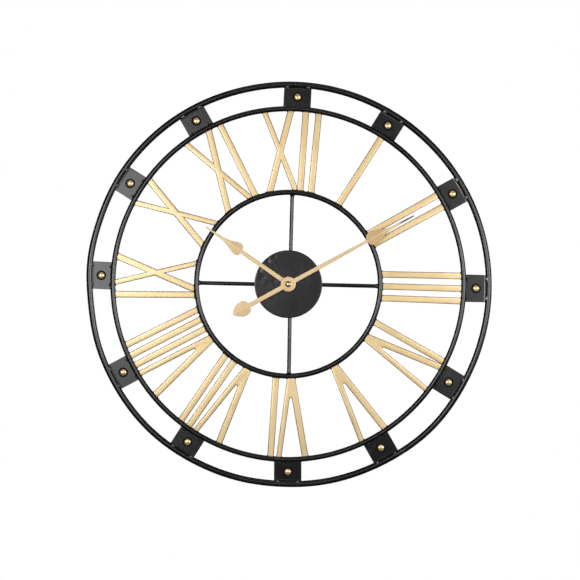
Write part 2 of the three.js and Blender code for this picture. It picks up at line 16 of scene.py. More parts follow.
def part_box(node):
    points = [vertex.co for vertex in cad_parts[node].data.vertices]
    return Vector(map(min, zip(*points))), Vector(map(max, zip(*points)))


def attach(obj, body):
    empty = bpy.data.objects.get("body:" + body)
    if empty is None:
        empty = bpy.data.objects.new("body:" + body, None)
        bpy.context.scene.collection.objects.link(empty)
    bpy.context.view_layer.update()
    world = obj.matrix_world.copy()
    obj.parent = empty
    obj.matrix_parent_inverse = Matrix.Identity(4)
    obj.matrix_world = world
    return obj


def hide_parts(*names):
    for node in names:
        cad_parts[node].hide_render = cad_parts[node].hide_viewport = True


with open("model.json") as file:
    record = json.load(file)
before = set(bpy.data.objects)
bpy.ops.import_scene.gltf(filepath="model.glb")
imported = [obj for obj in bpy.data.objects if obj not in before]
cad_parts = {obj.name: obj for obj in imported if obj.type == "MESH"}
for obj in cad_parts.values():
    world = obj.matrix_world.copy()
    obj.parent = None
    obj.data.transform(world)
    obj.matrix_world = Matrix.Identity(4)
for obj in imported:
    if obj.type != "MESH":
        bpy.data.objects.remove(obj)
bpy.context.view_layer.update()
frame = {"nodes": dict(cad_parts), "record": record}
MM = 0.001
BODY = "frame"

# Where the CAD puts things.
RING_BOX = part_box("numeral_ring")
PLANE_Y = (RING_BOX[0].y + RING_BOX[1].y) / 2  # middle plane of rings, numerals and plates
NUMERAL_TUBE = (RING_BOX[1].y - RING_BOX[0].y) / 2
NUMERAL_RADIUS = (RING_BOX[1].x - RING_BOX[0].x) / 2 - NUMERAL_TUBE
HUB_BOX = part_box("hub_ring")
HUB_TUBE = (HUB_BOX[1].y - HUB_BOX[0].y) / 2
HUB_RADIUS = (HUB_BOX[1].x - HUB_BOX[0].x) / 2 - HUB_TUBE
OUTER_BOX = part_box("outer_ring")
OUTER_TUBE = (OUTER_BOX[1].y - OUTER_BOX[0].y) / 2
OUTER_CENTRE = (OUTER_BOX[0] + OUTER_BOX[1]) / 2
OUTER_RADIUS = (OUTER_BOX[1].z - OUTER_BOX[0].z) / 2 - OUTER_TUBE
OUTER_OVAL = 0.0025  # the hoop is a little long from upper left to lower right
STRIP_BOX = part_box("stroke_i_i")
STRIP_FRONT, STRIP_BACK = STRIP_BOX[0].y, STRIP_BOX[1].y

rng = random.Random(12)

# ---------- materials ----------


class Nodes:
    """A small builder for node trees: n.add("ShaderNodeX", "Socket"=value or other socket)."""

    def __init__(self, tree):
        self.tree = tree
        tree.nodes.clear()

    def add(self, kind, props=None, **inputs):
        node = self.tree.nodes.new("ShaderNode" + kind)
        for key, value in (props or {}).items():
            setattr(node, key, value)
        for key, value in inputs.items():
            name = key.replace("_", " ")
            self.feed(node.inputs[int(name[1:]) if name[1:].isdigit() else name], value)
        return node

    def feed(self, socket, value):
        """Links a socket to another, or sets it."""
        if isinstance(value, bpy.types.NodeSocket):
            self.tree.links.new(value, socket)
            return
        if socket.type == "RGBA":
            value = (*value, 1) if hasattr(value, "__len__") else (value, value, value, 1)
        socket.default_value = value

    def ramp(self, factor, *stops):
        node = self.add("ValToRGB", Fac=factor)
        elements = node.color_ramp.elements
        while len(elements) < len(stops):
            elements.new(0.5)
        for element, (place, colour) in zip(elements, stops):
            element.position = place
            if not hasattr(colour, "__len__"):
                colour = (colour,) * 3
            element.color = (*colour, 1)
        return node.outputs["Color"]

    def noise(self, coords, scale, detail=3.0, roughness=0.5):
        node = self.add("TexNoise", Vector=coords, Scale=scale, Detail=detail, Roughness=roughness)
        return node.outputs["Fac"]

    def mix(self, factor, a, b, blend="MIX"):
        node = self.tree.nodes.new("ShaderNodeMix")
        node.data_type = "RGBA"
        node.blend_type = blend
        for index, value in ((0, factor), (6, a), (7, b)):
            self.feed(node.inputs[index], value)
        return node.outputs[2]

    def math(self, operation, a, b=0.0):
        return self.add("Math", {"operation": operation}, _0=a, _1=b).outputs[0]


def make_material(name, build):
    material = bpy.data.materials.new(name)
    material.use_nodes = True
    n = Nodes(material.node_tree)
    coords = n.add("TexCoord").outputs["Object"]
    shader = n.add("BsdfPrincipled")
    n.add("OutputMaterial", Surface=shader.outputs[0])
    build(n, coords, shader)
    return material


def wire(n, shader, **inputs):
    """Connects or sets sockets of the shader."""
    for key, value in inputs.items():
        n.feed(shader.inputs[key.replace("_", " ")], value)


def edge_mask(n, coords, low, high, scale=160):
    """1 on rubbed convex edges, broken up by noise."""
    pointy = n.add("NewGeometry").outputs["Pointiness"]
    edge = n.ramp(pointy, (low, 0), (high, 1))
    broken = n.ramp(n.noise(coords, scale, 4), (0.42, 0), (0.6, 1))
    return n.mix(1.0, edge, broken, "MULTIPLY")


def black_coat(n, coords, shader, gloss=0.62):
    """Satin black powder coat: orange peel, cloudy sheen, faint rubbed edges.

    The grey that a layer of the mesh lays over the coat is a painted highlight, on the plates'
    outer lips and the fronts of their weld beads.
    """
    cloud = n.noise(coords, 22, 4)
    peel = n.noise(coords, 750, 2)
    grain = n.noise(coords, 2600, 2)
    colour = n.ramp(cloud, (0.3, (0.0038, 0.0038, 0.0041)), (0.7, (0.0068, 0.0066, 0.0066)))
    rubbed = edge_mask(n, coords, 0.56, 0.66)
    colour = n.mix(n.math("MULTIPLY", rubbed, 0.35), colour, (0.06, 0.055, 0.05))
    # Painted highlight: the mesh layer lightens the coat to grey on the plates' lips and weld
    # beads.
    worn = n.add("Attribute", {"attribute_name": "worn"}).outputs["Fac"]
    patchy = n.ramp(n.noise(coords, 380, 4), (0.36, 0.55), (0.56, 1))
    colour = n.mix(n.math("MULTIPLY", worn, patchy), colour, (0.52, 0.51, 0.495))
    drawn = n.add("Mapping", Vector=coords, Scale=(1, 1, 0.6)).outputs[0]
    rub = n.ramp(n.noise(drawn, 48, 6, 0.6), (0.6, 0), (0.76, 1))
    colour = n.mix(n.math("MULTIPLY", rub, 0.4), colour, (0.075, 0.076, 0.08))
    dust = n.ramp(n.noise(coords, 420, 5, 0.7), (0.62, 0), (0.78, 1))
    colour = n.mix(n.math("MULTIPLY", dust, 0.08), colour, (0.12, 0.12, 0.115))
    rough = n.math("MULTIPLY_ADD", cloud, 0.10)
    rough.node.inputs[2].default_value = 0.185
    rough = n.math("ADD", rough, n.math("MULTIPLY", grain, 0.05))
    height = n.math("ADD", n.math("MULTIPLY", peel, 0.7), n.math("MULTIPLY", grain, 0.3))
    bump = n.add("Bump", Strength=0.12, Distance=0.00006, Height=height)
    wire(n, shader, Base_Color=colour, Roughness=rough, Normal=bump.outputs[0])
    shader.inputs["Specular IOR Level"].default_value = gloss


def gold_layers(n, coords, base_dark, base_light, speckle):
    """Sprayed champagne gold: soft cloudiness and fine flake."""
    cloud = n.noise(coords, 34, 4)
    colour = n.ramp(cloud, (0.32, base_dark), (0.68, base_light))
    flake = n.noise(coords, 1500, 2)
    colour = n.mix(speckle, colour, n.ramp(flake, (0.35, 0.25), (0.65, 0.9)), "SOFT_LIGHT")
    return colour, cloud, flake


def gold_paint(n, coords, shader):
    """Gold on the numerals: lengthwise drag marks, and near black along the rims."""
    colour, cloud, flake = gold_layers(n, coords, (0.84, 0.60, 0.28), (0.93, 0.685, 0.34), 0.03)
    rim = n.add("Attribute", {"attribute_name": "rim"}).outputs["Fac"]
    along = n.add("Attribute", {"attribute_name": "along"}).outputs["Vector"]
    drag = n.noise(n.add("Mapping", Vector=along, Scale=(150, 1, 16)).outputs[0], 1, 2)
    colour = n.mix(0.3, colour, n.ramp(drag, (0.3, 0.32), (0.7, 0.72)), "SOFT_LIGHT")
    ragged = n.math("ADD", rim, n.math("MULTIPLY", n.noise(coords, 260, 2), 0.0003))
    cover = n.ramp(n.math("MULTIPLY", ragged, 500), (0.43, 0), (0.56, 1))
    colour = n.mix(cover, (0.022, 0.019, 0.015), colour)
    rough = n.math("MULTIPLY_ADD", cloud, 0.12)
    rough.node.inputs[2].default_value = 0.32
    height = n.math("ADD", n.math("MULTIPLY", flake, 0.4), n.math("MULTIPLY", drag, 0.6))
    bump = n.add("Bump", Strength=0.02, Distance=0.00012, Height=height)
    wire(n, shader, Base_Color=colour, Roughness=rough, Normal=bump.outputs[0])
    shader.inputs["Metallic"].default_value = 0.25
    shader.inputs["Specular IOR Level"].default_value = 1.0


def gold_hand(n, coords, shader):
    """Gold on thin sheet: darker on the wide leaves, a painted highlight along the ridge, dark
    brown towards the tip.
    """
    blade = n.add("Attribute", {"attribute_name": "blade"}).outputs["Vector"]
    blade = n.add("SeparateXYZ", Vector=blade).outputs
    # Painted highlight: the colour is lightened along the ridge of each arm.
    ridge = n.ramp(n.math("MULTIPLY", blade["X"], 1000), (0.25, 1), (0.8, 0))
    colour, cloud, flake = gold_layers(n, coords, (0.74, 0.52, 0.26), (0.82, 0.60, 0.32), 0.25)
    # Darker on the wide leaves, by the amount in the blade layer.
    darker_leaf = n.mix(n.noise(coords, 140, 4), (0.56, 0.38, 0.165), (0.66, 0.47, 0.22))
    colour = n.mix(blade["Y"], colour, darker_leaf)
    colour = n.mix(n.math("MULTIPLY", ridge, 0.6), colour, (0.90, 0.70, 0.42))
    # Dark brown towards the tip, by the amount in the blade layer.
    colour = n.mix(blade["Z"], colour, (0.10, 0.056, 0.018))
    worn = edge_mask(n, coords, 0.53, 0.62, 260)
    colour = n.mix(n.math("MULTIPLY", worn, 0.5), colour, (0.9, 0.76, 0.5))
    rough = n.math("MULTIPLY_ADD", flake, 0.16)
    rough.node.inputs[2].default_value = 0.36
    bump = n.add("Bump", Strength=0.16, Distance=0.00008, Height=flake)
    wire(n, shader, Base_Color=colour, Roughness=rough, Normal=bump.outputs[0])
    shader.inputs["Metallic"].default_value = 0.2
    shader.inputs["Specular IOR Level"].default_value = 0.6


def metal(dark, light, rough_low, rough_span, bump_strength, scale, metallic=1.0):
    """A bare metal: tarnish clouds, fine scratches, uneven polish."""

    def build(n, coords, shader):
        cloud = n.noise(coords, scale, 5, 0.6)
        stretched = n.add("Mapping", Vector=coords, Scale=(1, 6, 14)).outputs[0]
        scratch = n.noise(stretched, scale * 9, 3)
        colour = n.ramp(cloud, (0.3, dark), (0.7, light))
        rough = n.math("MULTIPLY_ADD", scratch, rough_span)
        rough.node.inputs[2].default_value = rough_low
        bump = n.add("Bump", Strength=bump_strength, Distance=0.00006, Height=scratch)
        wire(n, shader, Base_Color=colour, Roughness=rough, Normal=bump.outputs[0])
        shader.inputs["Metallic"].default_value = metallic

    return build


def plastic(dark, light, rough, grain_scale, grain_strength, subsurface=0.0, gloss=0.5):
    """Moulded plastic: spark-eroded grain and faint flow marks."""

    def build(n, coords, shader):
        flow = n.noise(n.add("Mapping", Vector=coords, Scale=(1, 1, 4)).outputs[0], 60, 3)
        grain = n.noise(coords, grain_scale, 3, 0.65)
        colour = n.ramp(flow, (0.3, dark), (0.7, light))
        scuffed = edge_mask(n, coords, 0.54, 0.66, 300)
        lighter = tuple(min(1.0, c * 1.6 + 0.03) for c in light)
        colour = n.mix(n.math("MULTIPLY", scuffed, 0.3), colour, lighter)
        roughness = n.math("MULTIPLY_ADD", grain, 0.2)
        roughness.node.inputs[2].default_value = rough - 0.1
        bump = n.add("Bump", Strength=grain_strength, Distance=0.0001, Height=grain)
        wire(n, shader, Base_Color=colour, Roughness=roughness, Normal=bump.outputs[0])
        shader.inputs["Subsurface Weight"].default_value = subsurface
        shader.inputs["Subsurface Scale"].default_value = 0.001
        shader.inputs["Specular IOR Level"].default_value = gloss

    return build


def copper_winding(n, coords, shader):
    """Fine enamelled wire, wound turn by turn across the bobbin."""
    turns = n.add(
        "TexWave", {"bands_direction": "X"}, Vector=coords, Scale=900, Distortion=0.6, Detail=1.0
    ).outputs["Fac"]
    colour = n.ramp(turns, (0.1, (0.16, 0.045, 0.018)), (0.7, (0.62, 0.26, 0.12)))
    bump = n.add("Bump", Strength=0.7, Distance=0.0001, Height=turns)
    rough = n.ramp(n.noise(coords, 900), (0.3, 0.28), (0.7, 0.42))
    wire(n, shader, Base_Color=colour, Roughness=rough, Normal=bump.outputs[0])
    shader.inputs["Metallic"].default_value = 0.8


def battery_sleeve(n, coords, shader):
    """A plain shrink sleeve: dark along most of it, a copper-coloured band at the positive end."""
    x = n.add("SeparateXYZ", Vector=coords).outputs["X"]
    band = n.ramp(n.math("MULTIPLY_ADD", x, 20.0), (0.7, 0), (0.705, 1))
    band.node.inputs[0].links[0].from_node.inputs[2].default_value = 0.5
    cloud = n.noise(coords, 120, 4)
    body = n.ramp(cloud, (0.3, (0.03, 0.032, 0.036)), (0.7, (0.045, 0.047, 0.052)))
    colour = n.mix(band, body, (0.42, 0.21, 0.085))
    scuff = n.noise(n.add("Mapping", Vector=coords, Scale=(1, 8, 8)).outputs[0], 300, 4)
    rough = n.ramp(scuff, (0.3, 0.2), (0.75, 0.4))
    bump = n.add("Bump", Strength=0.2, Distance=0.00006, Height=scuff)
    wire(n, shader, Base_Color=colour, Roughness=rough, Normal=bump.outputs[0])
    shader.inputs["Metallic"].default_value = 0.65


# One look for each of the record's slots, and four more for pieces that need their own.
LOOKS = {
    "black_coat": black_coat,
    "black_sheet": lambda n, c, s: black_coat(n, c, s, 0.42),
    "black_disc": lambda n, c, s: black_coat(n, c, s, 0.5),
    "gold_paint": gold_paint,
    "gold_hand": gold_hand,
    "brass": metal((0.60, 0.42, 0.20), (0.86, 0.66, 0.38), 0.27, 0.14, 0.2, 420, 0.7),
    # Painted shade: the washers are real parts, but their near black, barely reflecting finish
    # stands in for the shade round each rivet.
    "washer_painted_shade": plastic((0.002, 0.002, 0.002), (0.004, 0.004, 0.004), 0.6, 900, 0.3, 0.0, 0.08),
    "dark_metal": metal((0.40, 0.28, 0.15), (0.62, 0.48, 0.30), 0.16, 0.12, 0.3, 300, 0.6),
    "case_plastic": plastic((0.010, 0.010, 0.011), (0.018, 0.018, 0.019), 0.5, 1500, 0.35),
    "gear_nylon": plastic((0.74, 0.70, 0.62), (0.84, 0.81, 0.74), 0.42, 900, 0.15, 0.2),
    "copper_wire": copper_winding,
    "battery_shell": battery_sleeve,
    "steel": metal((0.45, 0.44, 0.42), (0.66, 0.65, 0.63), 0.2, 0.16, 0.3, 220),
}
MATERIALS = {name: make_material(name, build) for name, build in LOOKS.items()}

# ---------- mesh helpers ----------


def polar(clock, radius):
    """The (x, z) place at a clock angle."""
    angle = math.radians(clock)
    return math.sin(angle) * radius, math.cos(angle) * radius


def clock_of(x, z):
    """The clock angle of an (x, z) place."""
    return math.degrees(math.atan2(x, z))


def round_angles(count):
    """The angles of evenly spread points on a circle."""
    return [2 * math.pi * k / count for k in range(count)]


def make_piece(bm, name, slot, body=BODY, replaces=(), look=None):
    """Turns a bmesh into a piece that rides on a body and stands for the named CAD nodes."""
    bmesh.ops.recalc_face_normals(bm, faces=bm.faces)
    mesh = bpy.data.meshes.new(name)
    bm.to_mesh(mesh)
    bm.free()
    mesh.materials.append(MATERIALS[look or slot])
    mesh.shade_smooth()
    mesh.set_sharp_from_angle(angle=math.radians(38))
    piece = bpy.data.objects.new(name, mesh)
    bpy.context.scene.collection.objects.link(piece)
    if replaces:
        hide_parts(*replaces)
    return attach(piece, body)


def skin(bm, loops, closed=False):
    """Joins rows of points into a surface; every row is a closed loop of the same length."""
    rows = [[bm.verts.new(p) for p in loop] for loop in loops]
    pairs = list(zip(rows, rows[1:] + rows[:1])) if closed else list(zip(rows, rows[1:]))
    for low, high in pairs:
        for i in range(len(low)):
            j = (i + 1) % len(low)
            bm.faces.new((low[i], low[j], high[j], high[i]))
    if not closed:
        bm.faces.new(rows[0])
        bm.faces.new(rows[-1])
    return rows


AXIS_GAP = 0.02 * MM  # a turned shape ends in a cap this small, not in a point


def lathe(bm, profile, centre=(0, 0), segments=48, axis="Y"):
    """Turns (radius, depth) points about an axis parallel to Y, or to X, through centre."""
    loops = []
    for radius, depth in profile:
        loop = []
        for a in round_angles(segments):
            u, v = math.cos(a) * radius, math.sin(a) * radius
            if axis == "Y":
                loop.append((centre[0] + u, depth, centre[1] + v))
            else:
                loop.append((depth, centre[0] + u, centre[1] + v))
        loops.append(loop)
    return skin(bm, loops)


def signed_area(points):
    """Positive where an (x, z) outline runs anticlockwise."""
    return 0.5 * sum(
        a[0] * b[1] - b[0] * a[1] for a, b in zip(points, points[1:] + points[:1])
    )


def inset(points, distance):
    """An anticlockwise outline moved inwards, with mitred corners."""
    moved = []
    count = len(points)
    for i, here in enumerate(points):
        before, after = points[i - 1], points[(i + 1) % count]
        d1 = (Vector(here) - Vector(before)).normalized()
        d2 = (Vector(after) - Vector(here)).normalized()
        n1, n2 = Vector((-d1.y, d1.x)), Vector((-d2.y, d2.x))
        share = max(0.18, 1 + n1.dot(n2))
        moved.append(tuple(Vector(here) + (n1 + n2) * (distance / share)))
    return moved


def rim_profile(radius, steps=3, crown=0.0, reach=0.0, crown_steps=3):
    """(inset, drop) pairs from the rim inwards: a rounded edge, then a gentle crown."""
    profile = []
    for k in range(steps + 1):
        t = math.pi / 2 * k / steps
        profile.append((radius * (1 - math.cos(t)), radius * (1 - math.sin(t)) + crown))
    for k in range(1, crown_steps + 1) if reach else ():
        s = k / crown_steps
        profile.append((radius + (reach - radius) * s, crown * (1 - s) ** 2))
    return profile


def slab(bm, outline, front, back, front_profile, back_profile):
    """A sheet of the given (x, z) outline with shaped rims.

    The rim layer holds the distance to the edge.
    """
    if signed_area(outline) < 0:
        outline = outline[::-1]
    rim = bm.verts.layers.float.get("rim") or bm.verts.layers.float.new("rim")
    loops, distances = [], []
    for distance, drop in reversed(back_profile):
        loops.append([(x, back - drop, z) for x, z in inset(outline, distance)])
        distances.append(distance)
    for distance, drop in front_profile:
        loops.append([(x, front + drop, z) for x, z in inset(outline, distance)])
        distances.append(distance)
    rows = skin(bm, loops)
    for row, distance in zip(rows, distances):
        for v in row:
            v[rim] = distance
    return rows


def split_at_notch(points):
    """Two outlines where the sides of a very narrow notch meet, or the one outline."""
    if signed_area(points) < 0:
        points = points[::-1]
    count = len(points)
    for i, p in enumerate(points):
        here, before, after = Vector(p), Vector(points[i - 1]), Vector(points[(i + 1) % count])
        d1, d2 = (here - before).normalized(), (after - here).normalized()
        if d1.cross(d2) < 0 and d1.dot(d2) < -0.9:
            others = [k for k in range(count) if k not in (i, (i - 1) % count, (i + 1) % count)]
            k = min(others, key=lambda k: (Vector(points[k]) - here).length)
            low, high = min(i, k), max(i, k)
            return [points[low : high + 1], points[high:] + points[: low + 1]]
    return [points]


# An outline drops the points this near the last one kept, or this near a straight run.
CLOSE, STRAIGHT = 0.12 * MM, 0.004 * MM


def front_outline(node):
    """The (x, z) outline of a flat CAD node's front face, without points on straight runs."""
    bm = bmesh.new()
    bm.from_mesh(frame["nodes"][node].data)
    bmesh.ops.remove_doubles(bm, verts=bm.verts, dist=1e-6)
    front = min(v.co.y for v in bm.verts)
    facing = {f for f in bm.faces if all(abs(v.co.y - front) < 1e-5 for v in f.verts)}
    links = {}
    for f in facing:
        for loop in f.loops:
            if sum(g in facing for g in loop.edge.link_faces) == 1:
                links[loop.vert] = loop.link_loop_next.vert
    start = here = next(iter(sorted(links, key=lambda v: v.index)))
    points = []
    while True:
        points.append((here.co.x, here.co.z))
        here = links[here]
        if here == start:
            break
    bm.free()
    kept = []
    for i, p in enumerate(points):
        a, b = Vector(kept[-1] if kept else points[i - 1]), Vector(points[(i + 1) % len(points)])
        here = Vector(p)
        if (here - a).length < CLOSE or (b - a).length < 1e-9:
            continue
        if abs((b - a).normalized().cross(here - a)) > STRAIGHT:
            kept.append(p)
    return kept


def blob(bm, centre, size, turn=0.0, seed=0, rough=0.16, worn=0.0):
    """A lump of weld: a squashed ball with an uneven skin. size is radial, deep and tangential."""
    rotate = Matrix.Rotation(math.radians(turn), 3, "Y")
    layer = bm.verts.layers.float.get("worn")
    for v in bmesh.ops.create_icosphere(bm, subdivisions=3, radius=1.0)["verts"]:
        swell = 1 + rough * noise.noise(v.co * 1.7 + Vector((seed * 3.1, seed, 0)))
        swell += 0.5 * rough * noise.noise(v.co * 4.3 + Vector((0, seed * 1.7, seed)))
        p = Vector((v.co.x * size[2], v.co.y * size[1], v.co.z * size[0])) * swell
        v.co = rotate @ p + Vector(centre)
        # Painted glint: the front of the lump takes most of the layer that lightens the coat to
        # grey.
        if layer:
            v[layer] = worn * max(0.0, -p.y / size[1] + 0.9 * noise.noise(v.co * 700)) ** 2


def bevel(obj, width, segments):
    """Rounds the edges of a CAD node that stays in view, or of a carved piece."""
    for polygon in obj.data.polygons:
        polygon.use_smooth = True
    rounding = obj.modifiers.new("bevel", "BEVEL")
    rounding.width = width
    rounding.segments = segments
    rounding.limit_method = "ANGLE"
    rounding.angle_limit = math.radians(35)
    weighted = obj.modifiers.new("normals", "WEIGHTED_NORMAL")
    weighted.keep_sharp = True


# ---------- rings ----------

# Where the outer hoop was bent by hand: clock angle, spread in degrees, and how far out in mm.
HOOP_BENDS = (
    (60, 18, 0.5), (134, 13, 2.3), (181, 9, -1.0), (222, 14, 1.6), (263, 9, -2.1),
    (287, 9, -1.2), (345, 14, -0.8),
)
SEAM_RELIEF = 0.09 * MM  # how much a butt weld stands proud once ground down
SEAM_WIDTH = 1.1 * MM


def outer_bend(clock):
    """How far the outer hoop strays from its true curve, in metres."""
    stray = 0.0
    for middle, spread, depth in HOOP_BENDS:
        off = (clock - middle + 180) % 360 - 180
        stray += depth * math.exp(-((off / spread) ** 2))
    return stray * MM


def hoop(name, node, radius, tube, centre, seam, oval=0.0, steps=240, sides=28):
    """A rod or tube bent to a hoop and butt-welded: the seam is a low ground-down ridge."""
    extra = [seam + d for d in (-0.5, -0.3, -0.2, -0.12, -0.05, 0, 0.05, 0.12, 0.2, 0.3, 0.5)]
    angles = sorted([i * 360 / steps for i in range(steps)] + [a % 360 for a in extra])
    bm = bmesh.new()
    loops = []
    for clock in angles:
        off = ((clock - seam + 180) % 360 - 180) * math.pi / 180 * radius
        bead = math.exp(-((off / SEAM_WIDTH) ** 2))
        wave = noise.noise(Vector((clock * 0.05, radius * 10, 0))) * 0.03 * MM
        path = radius * (1 + oval * math.cos(2 * math.radians(clock + 45))) + wave
        if oval:
            path += outer_bend(clock)
        loop = []
        for b in round_angles(sides):
            ragged = noise.noise(Vector((clock * 9, math.cos(b) * 2, math.sin(b) * 2)))
            r = tube - SEAM_RELIEF - abs(wave) + bead * SEAM_RELIEF * (0.7 + 0.3 * ragged)
            x, z = polar(clock, path + r * math.cos(b))
            loop.append((centre.x + x, centre.y + r * math.sin(b), centre.z + z))
        loops.append(loop)
    skin(bm, loops, closed=True)
    make_piece(bm, name, "black_coat", replaces=(node,))


PLANE_CENTRE = Vector((0, PLANE_Y, 0))
hoop(
    "outer_hoop", "outer_ring", OUTER_RADIUS, OUTER_TUBE, OUTER_CENTRE, seam=0.7, oval=OUTER_OVAL
)
hoop("numeral_hoop", "numeral_ring", NUMERAL_RADIUS, NUMERAL_TUBE, PLANE_CENTRE, seam=186.2)
hoop("hub_hoop", "hub_ring", HUB_RADIUS, HUB_TUBE, PLANE_CENTRE, seam=174.5, steps=180, sides=24)

# ---------- spokes ----------


# A spoke's swell along its length: a small chamfer at the disc, a weld fillet at the ring.
SPOKE_SWELL = (
    (0, 0.8), (0.004, 0.97), (0.01, 0.99), (0.5, 0.99), (0.9, 0.99), (0.955, 1.0),
    (0.972, 1.06), (0.986, 1.2), (1.0, 1.38),
)


def spoke(node, axis):
    """A straight rod between the disc and the hub ring."""
    low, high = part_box(node)
    co = [v.co for v in frame["nodes"][node].data.vertices]
    ends = []
    for limit in (low[axis], high[axis]):
        near = [c for c in co if abs(c[axis] - limit) < 1.5 * MM]
        ends.append(sum(near, Vector()) / len(near))
    radius = (high.y - low.y) / 2
    a, b = sorted(ends, key=lambda p: p.xz.length)
    direction = (b - a).normalized()
    b = b + direction * 1.2 * MM
    depth = Vector((0, 1, 0))
    side = direction.cross(depth)
    length = (b - a).length
    bm = bmesh.new()
    loops = []
    for s, swell in SPOKE_SWELL:
        middle, r = a + direction * length * s, radius * swell
        loops.append(
            [middle + (side * math.cos(t) + depth * math.sin(t)) * r for t in round_angles(24)]
        )
    skin(bm, loops)
    make_piece(bm, node + "_rod", "black_coat", replaces=(node,))


for name, axis in (("top", 2), ("bottom", 2), ("left", 0), ("right", 0)):
    spoke(f"spoke_{name}", axis)

# ---------- disc ----------

# Knocks in the thin sheet: x, z, spread and depth in millimetres.
DENTS = [
    (-31.0, 33.5, 2.2, 0.30), (-27.5, 36.5, 1.4, -0.16), (-22.0, 39.5, 1.8, 0.16),
    (-43.0, 19.5, 2.2, 0.34), (-44.5, 13.5, 1.8, -0.18), (-38.0, 8.0, 3.4, 0.16),
    (-36.0, 2.0, 2.6, -0.10), (-21.0, 3.5, 3.0, 0.12), (-25.0, -1.0, 2.2, -0.07),
    (7.0, 28.0, 1.0, 0.10), (14.0, -36.0, 5.0, 0.10),
]


def disc():
    """The thin black sheet behind the hands, with a rolled edge and its knocks."""
    low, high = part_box("centre_disc")
    radius, front, back = (high.x - low.x) / 2, low.y, high.y
    hole = 4.4 * MM
    edge = 0.45 * MM
    radii = [hole + (radius - edge - hole) * k / 44 for k in range(45)]
    profile = [(r, back) for r in radii]
    for k in range(1, 7):
        t = math.pi * k / 6 - math.pi / 2
        middle = (front + back) / 2
        half = (back - front) / 2
        profile.append((radius - edge + edge * math.cos(t), middle - half * math.sin(t)))
    profile += [(r, front) for r in reversed(radii[:-1])]
    bm = bmesh.new()
    loops = []
    for r, y in profile:
        loop = []
        for a in round_angles(160):
            x, z = math.cos(a) * r, math.sin(a) * r
            push = sum(
                depth * math.exp(-((x / MM - dx) ** 2 + (z / MM - dz) ** 2) / (2 * spread**2))
                for dx, dz, spread, depth in DENTS
            )
            push += 0.05 * noise.noise(Vector((x, z, 0)) * 45)
            fade = min(1.0, (r - hole) / (6 * MM)) * min(1.0, max(0.35, (radius - r) / (3 * MM)))
            loop.append((x, y + max(0.0, push * fade * MM + 0.05 * MM * fade), z))
        loops.append(loop)
    skin(bm, loops, closed=True)
    make_piece(bm, "disc_sheet", "black_coat", replaces=("centre_disc",), look="black_disc")


disc()

# ---------- marker plates, washers and rivets ----------

WASHER_RADIUS = 7.1 * MM
RIVET_RADIUS, RIVET_HEIGHT = 5.1 * MM, 2.6 * MM
# How strongly a painted highlight lightens each plate's outer lip and the fronts of its weld beads,
# by hour.
LIP_AND_BEAD_HIGHLIGHT = {12: (0.1, 0.35), 1: (0.2, 0.6), 2: (0.75, 0.9), 3: (0.9, 1.0)}
FAINT_LIP_AND_BEAD_HIGHLIGHT = (0.05, 0.3)
LIP_INSET, LIP_RADIUS, LIP_PROUD = 1.9 * MM, 0.6 * MM, 0.3 * MM
# The second row of points keeps the shading of the sheet flat right up to its rim.
PLATE_RIM = rim_profile(0.3 * MM, reach=0.8 * MM, crown_steps=1)


def outer_inside(clock):
    """Distance from the dial's centre to the inner side of the outer tube."""
    ux, uz = polar(clock, 1.0)
    oval = OUTER_RADIUS * OUTER_OVAL * math.cos(2 * math.radians(clock + 45))
    oval += outer_bend(clock)
    return OUTER_RADIUS + oval + OUTER_CENTRE.x * ux + OUTER_CENTRE.z * uz - OUTER_TUBE


